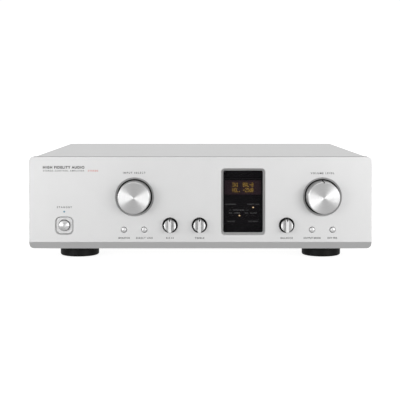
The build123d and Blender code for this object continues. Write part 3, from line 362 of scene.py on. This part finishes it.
def write(name, lines, material, face=FRONT, rear=False, bold=0.008):
    """Thin printed words. Each line is (text, x, z, width, cap height), in millimetres."""
    bm = bmesh.new()
    for text, x, z, width, cap in lines:
        spacing = 1.0
        for _ in range(3):
            mesh, x0, x1, y0, y1 = letters(text, spacing, bold)
            k = cap * MM / (y1 - y0)
            wide = (x1 - x0) * k
            if len(text) < 2 or not width:
                break
            spacing *= 1 + (width * MM - wide) / wide * 0.9
        turn = -1 if rear else 1
        out = 1 if rear else -1
        start = len(bm.verts)
        bm.from_mesh(mesh)
        bm.verts.ensure_lookup_table()
        for v in bm.verts[start:]:
            across = (v.co.x - (x0 + x1) / 2) * k * turn
            up = (v.co.y - (y0 + y1) / 2) * k
            deep = PRINT_OUT if v.co.z > 0 else PRINT_IN
            v.co = (x * MM + across, face + out * deep, z * MM + up)
    if not rear:
        bmesh.ops.reverse_faces(bm, faces=bm.faces)
    bmesh.ops.recalc_face_normals(bm, faces=bm.faces)
    return piece(name, bm, material, "chassis")


def bars(bm, spots, y, deep):
    """Flat rectangles (x, z, width, height), in millimetres, standing `deep` out of y."""
    for x, z, wide, high in spots:
        move = Matrix.Translation((x * MM, y - deep / 2, z * MM))
        size = Matrix.Diagonal((wide * MM, deep, high * MM, 1))
        bmesh.ops.create_cube(bm, size=1.0, matrix=move @ size)


def below(mm):
    """Height in millimetres of a point that far below the front panel's top edge."""
    return TOP / MM - mm


ink_grey = grained("ink_grey", (0.06, 0.06, 0.06), 0.6, 3000.0, vary=0.1)
# black print, also used as painted shade in the volume knob's groove and the grips' notches
print_and_shade_black = grained("print_and_shade_black", (0.012, 0.012, 0.012), 0.5, 3000.0, vary=0.2)
ink_red = grained("ink_red", (0.50, 0.07, 0.05), 0.6, 3000.0, vary=0.1)

write("front_legends", [
    ("INPUT SELECT", -84.8, below(20.4), 29.2, 2.4),
    ("VOLUME LEVEL", 156.6, below(20.9), 31.0, 2.4),
    ("STANDBY", -174.5, below(64.6), 20.2, 2.3),
    ("MONITOR", -97.8, below(104.2), 14.9, 2.3),
    ("DIRECT LINE", -72.0, below(104.2), 21.5, 2.3),
    ("BASS", -39.0, below(104.2), 9.8, 2.3),
    ("TREBLE", -1.1, below(104.2), 12.5, 2.3),
    ("BALANCE", 110.8, below(104.2), 15.9, 2.3),
    ("OUTPUT MODE", 143.4, below(104.2), 22.2, 2.3),
    ("EXT PRE", 169.4, below(104.2), 12.3, 2.3),
    ("STEREO CONTROL AMPLIFIER", -175.4, below(17.8), 53.6, 2.0),
], ink_grey, bold=0.03)
write("front_title", [
    ("HIGH FIDELITY AUDIO", -175.4, below(13.4), 53.6, 3.5),
], print_and_shade_black, bold=0.045)
write("front_accent", [("STEREO", -137.6, below(17.8), 13.2, 2.0)], ink_red, bold=0.03)

# display: lit characters, grid and lamp legends behind the smoked window
GLYPHS = {
    "I": (14, 4, 4, 4, 4, 4, 14), "N": (17, 17, 25, 21, 19, 17, 17), "1": (4, 12, 4, 4, 4, 4, 14),
    "B": (30, 17, 17, 30, 17, 17, 30), "A": (14, 17, 17, 17, 31, 17, 17), "L": (16, 16, 16, 16, 16, 16, 31),
    "0": (14, 17, 19, 21, 25, 17, 14), "V": (17, 17, 17, 17, 17, 10, 4), "O": (14, 17, 17, 17, 17, 17, 14),
    "-": (0, 0, 0, 31, 0, 0, 0), "2": (14, 17, 1, 2, 4, 8, 31), "5": (31, 16, 30, 1, 1, 17, 14),
    "d": (1, 1, 13, 19, 17, 17, 15), ".": (0, 0, 0, 0, 0, 12, 12), " ": (0,) * 7,
}
LINES = (("IN1  BAL-0", 33.7), ("VOL. -25dB", 40.6))
LEFT, PITCH, DOT_X, DOT_Z, DOT_FILL = 41.0, 2.78, 0.44, 0.76, 0.74
lit, unlit = [], []
for text, top in LINES:
    for column, letter in enumerate(text):
        for row, bits in enumerate(GLYPHS[letter]):
            for dot in range(5):
                x = LEFT + column * PITCH + (dot + 0.5) * DOT_X
                z = below(top + (row + 0.5) * DOT_Z)
                side = lit if bits >> (4 - dot) & 1 else unlit
                side.append((x, z, DOT_X * DOT_FILL, DOT_Z * DOT_FILL))
amber = glowing("display_amber", (1.0, 0.62, 0.10), 1.5)
amber_dim = grained("display_unlit", (0.10, 0.055, 0.05), 0.5, 1500.0, vary=0.2)
warm = glowing("lamp_warm", (1.0, 0.72, 0.42), 4.0)
for name, spots, material in (("display_dots_lit", lit, amber), ("display_dots_unlit", unlit, amber_dim)):
    bm = bmesh.new()
    bars(bm, spots, TUBE[0][1], 0.00005)
    piece(name, bm, material, "chassis")

# black mask over the tube's upper edge
bm = bmesh.new()
MASK_HIGH = 1.7
tube_x = axis_of("display_tube")[0] / MM
tube_wide = (TUBE[1][0] - TUBE[0][0]) / MM
bars(bm, [(tube_x, TUBE[1][2] / MM - MASK_HIGH / 2, tube_wide, MASK_HIGH)], TUBE[0][1], 0.0001)
piece("display_mask", bm, black_resist, "chassis")

# lamps by x and distance below the panel's top, in millimetres: 1 is lit
LAMP_WIDE, LAMP_HIGH = 1.7, 1.15
LAMPS = {(54.2, 91.0): 0, (40.7, 64.9): 0, (67.7, 64.9): 1, (40.7, 75.4): 0, (50.0, 75.4): 1, (59.0, 75.4): 0,
         (67.7, 75.4): 0, (40.7, 86.7): 0, (67.7, 86.7): 0}
lamp_off = grained("lamp_off", (0.07, 0.065, 0.06), 0.4, 1500.0, vary=0.2)
for name, state, material in (("indicators_lit", 1, warm), ("indicators_unlit", 0, lamp_off)):
    bm = bmesh.new()
    spots = [
        (x + 0.5, below(d + 0.9), LAMP_WIDE, LAMP_HIGH)
        for (x, d), on in LAMPS.items() if on == state
    ]
    bars(bm, spots, BOARD[0][1], 0.0003)
    bmesh.ops.bevel(bm, geom=bm.edges[:], offset=0.0001, segments=2, affect="EDGES")
    piece(name, bm, material, "chassis")

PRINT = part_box("display_window")[0][1]
names = [
    ("MONITORING", 38.9, 61.3, 12.9), ("DIRECT LINE", 68.2, 61.3, 15.4),
    ("OUTPUT MODE", 49.2, 68.8, 14.2),
    ("BAL", 39.0, 72.5, 4.4), ("NORMAL", 47.4, 72.5, 7.6),
    ("PIN", 59.3, 72.5, 4.0), ("ALL OUT", 68.3, 72.5, 9.2),
    ("TONE SET", 39.2, 83.4, 10.8), ("EXT INPUT", 68.2, 83.4, 12.2),
]
legend_grey = grained("window_print", (0.045, 0.045, 0.045), 0.6, 2500.0, vary=0.1)
words = [(text, x, below(down), wide, 1.6) for text, x, down, wide in names]
write("window_legends", words, legend_grey, face=PRINT)
bm = bmesh.new()
bars(bm, [(38.2, below(68.8), 3.4, 0.3), (60.4, below(68.8), 3.4, 0.3)], PRINT, 0.00004)
piece("window_bracket_lines", bm, legend_grey, "chassis")

# black painted shade: in the groove along the volume knob's side, and in the grips' notches and along their
# tops
GROOVE_SHADE_HALF = 0.77
GROOVE_LONG = 26.4
volume_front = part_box("volume_knob")[0][1]
groove_x = axis_of("volume_knob")[0]
middle = axis_of("input_knob")[1]
groove_floor = middle + 19.03 * MM
rim = ((0.0, 19.25), (0.9, 20.2), (GROOVE_LONG, 20.9))
# painted shade: black faces on the groove's walls and floor
bm = bmesh.new()
for side in (-GROOVE_SHADE_HALF, GROOVE_SHADE_HALF):
    x = groove_x + side * MM
    wall = [(x, volume_front + y * MM, middle + z * MM) for y, z in rim]
    wall += [(x, volume_front + GROOVE_LONG * MM, groove_floor), (x, volume_front, groove_floor)]
    bm.faces.new([bm.verts.new(at) for at in wall])
strip = (groove_x / MM, groove_floor / MM + 0.02, 2 * GROOVE_SHADE_HALF, 0.04)
bars(bm, [strip], volume_front + GROOVE_LONG * MM, GROOVE_LONG * MM)
piece("volume_mark", bm, print_and_shade_black, "volume")

TOP_STRIP = ((-1.0, 1.0), (1.0, 1.0), (1.0, 17.0), (-1.0, 17.0))
TIP_HALF, TIP_INSET, TIP_TOP, TIP_POINT = 1.05, 1.2, 0.1, 3.1
for name, body in (("bass_knob", "bass"), ("treble_knob", "treble"), ("balance_knob", "balance")):
    low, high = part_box(name)
    x = axis_of(name)[0]
    tip = low[1] + TIP_INSET * MM
    # painted shade: a black triangle in the notch and a black strip along the ridge's top, for the dark gap
    # seen through it
    bm = bmesh.new()
    corners = [
        (x - TIP_HALF * MM, tip, high[2] - TIP_TOP * MM),
        (x + TIP_HALF * MM, tip, high[2] - TIP_TOP * MM),
        (x, tip, high[2] - TIP_POINT * MM),
    ]
    bm.faces.new([bm.verts.new(at) for at in corners])
    edge = [(x + side * MM, low[1] + y * MM, high[2] + 0.02 * MM) for side, y in TOP_STRIP]
    bm.faces.new([bm.verts.new(at) for at in edge])
    piece(body + "_mark", bm, print_and_shade_black, body)

# rear legends
columns = (188.0, 166.0, 144.0, 122.0, 100.0, 74.0, 52.0, 26.0, 4.0)
rear_words = [(t, x, 119.0, 0, 2.2) for t, x in zip(
    ("PHONO", "CD", "LINE 1", "LINE 2", "LINE 3", "REC", "PLAY", "OUT 1", "OUT 2"), columns)]
rear_words += [(f"BAL IN {i + 1}", x, 65.2, 0, 2.2) for i, x in enumerate((186.0, 152.0, 118.0, 84.0))]
rear_words += [(f"BAL OUT {i + 1}", x, 65.2, 0, 2.2) for i, x in enumerate((30.0, -4.0))]
rear_words += [
    ("GROUND", -104.0, 108.5, 0, 2.2), ("LINK", -148.0, 106.0, 0, 2.2),
    ("AC IN", -178.0, 66.0, 0, 2.4), ("L", 197.8, 108.0, 0, 2.4), ("R", 197.8, 86.0, 0, 2.4),
]
write("rear_legends", rear_words, print_and_shade_black, face=REAR_FACE, rear=True)

# ---------------------------------------------------------------- stage, light and camera
bm = bmesh.new()
bmesh.ops.create_circle(bm, cap_ends=True, segments=96, radius=80.0)
floor_mesh = bpy.data.meshes.new("floor")
bm.to_mesh(floor_mesh)
bm.free()
floor = bpy.data.objects.new("floor", floor_mesh)
bpy.context.collection.objects.link(floor)
pale = Shader("floor_white", Roughness=0.9, Emission_Strength=0.9)
pale.bsdf.inputs["Emission Color"].default_value = (1, 1, 1, 1)
pale.link(pale.tint(pale.noise(pale.place(), 3.0), (0.34, 0.34, 0.34), (0.36, 0.36, 0.36)), "Base Color")
floor_mesh.materials.append(pale.mat)
floor.visible_glossy = False


def area(name, at, aim, size, power, colour=(1, 1, 1)):
    data = bpy.data.lights.new(name, "AREA")
    data.shape = "RECTANGLE"
    data.size, data.size_y = size
    data.energy = power
    data.color = colour
    made = bpy.data.objects.new(name, data)
    bpy.context.collection.objects.link(made)
    made.location = at
    made.rotation_euler = (Vector(aim) - Vector(at)).to_track_quat("-Z", "Y").to_euler()


area("left_box", (-1.25, -1.75, 0.25), (0, -0.15, 0.08), (1.0, 0.7), 11.2)
area("right_box", (1.25, -1.75, 0.25), (0, -0.15, 0.08), (1.0, 0.7), 13.5)
area("top_box", (0.0, 0.35, 1.9), (0, 0.0, 0.1), (2.4, 1.6), 12)

world = bpy.data.worlds.new("studio")
bpy.context.scene.world = world
world.use_nodes = True
wt = world.node_tree
height = wt.nodes.new("ShaderNodeSeparateXYZ")
wt.links.new(wt.nodes.new("ShaderNodeTexCoord").outputs["Generated"], height.inputs[0])
ramp = wt.nodes.new("ShaderNodeValToRGB")
scale = wt.nodes.new("ShaderNodeMapRange")
wt.links.new(scale.outputs[0], ramp.inputs[0])
wt.links.new(height.outputs["Z"], scale.inputs["Value"])
scale.inputs["From Min"].default_value = -1.0
stops = ((0.0, 0.40), (0.48, 0.45), (0.495, 1.0), (0.56, 1.0), (0.66, 0.62), (1.0, 0.60))
ramp.color_ramp.elements[0].position, ramp.color_ramp.elements[1].position = stops[0][0], stops[-1][0]
for position, value in stops[1:-1]:
    ramp.color_ramp.elements.new(position)
for element, (position, value) in zip(ramp.color_ramp.elements, stops):
    element.position = position
    element.color = (value, value, value, 1)
background = wt.nodes["Background"]
wt.links.new(ramp.outputs[0], background.inputs["Color"])
background.inputs["Strength"].default_value = 1.05

CAMERA_AHEAD, CAMERA_OVER = 1.360, 0.0761
CAMERA_DOWN = 1.2  # degrees below level
camera_data = bpy.data.cameras.new("camera")
camera_data.sensor_width = 36.0
camera_data.lens = 95.55
camera_data.shift_x = -0.001
camera_data.shift_y = -0.2005
camera = bpy.data.objects.new("camera", camera_data)
bpy.context.collection.objects.link(camera)
camera.location = (0.0, FRONT - CAMERA_AHEAD, TOP + CAMERA_OVER)
camera.rotation_euler = (radians(90 - CAMERA_DOWN), 0, 0)
bpy.context.scene.camera = camera
bpy.context.scene.view_settings.view_transform = "Standard"
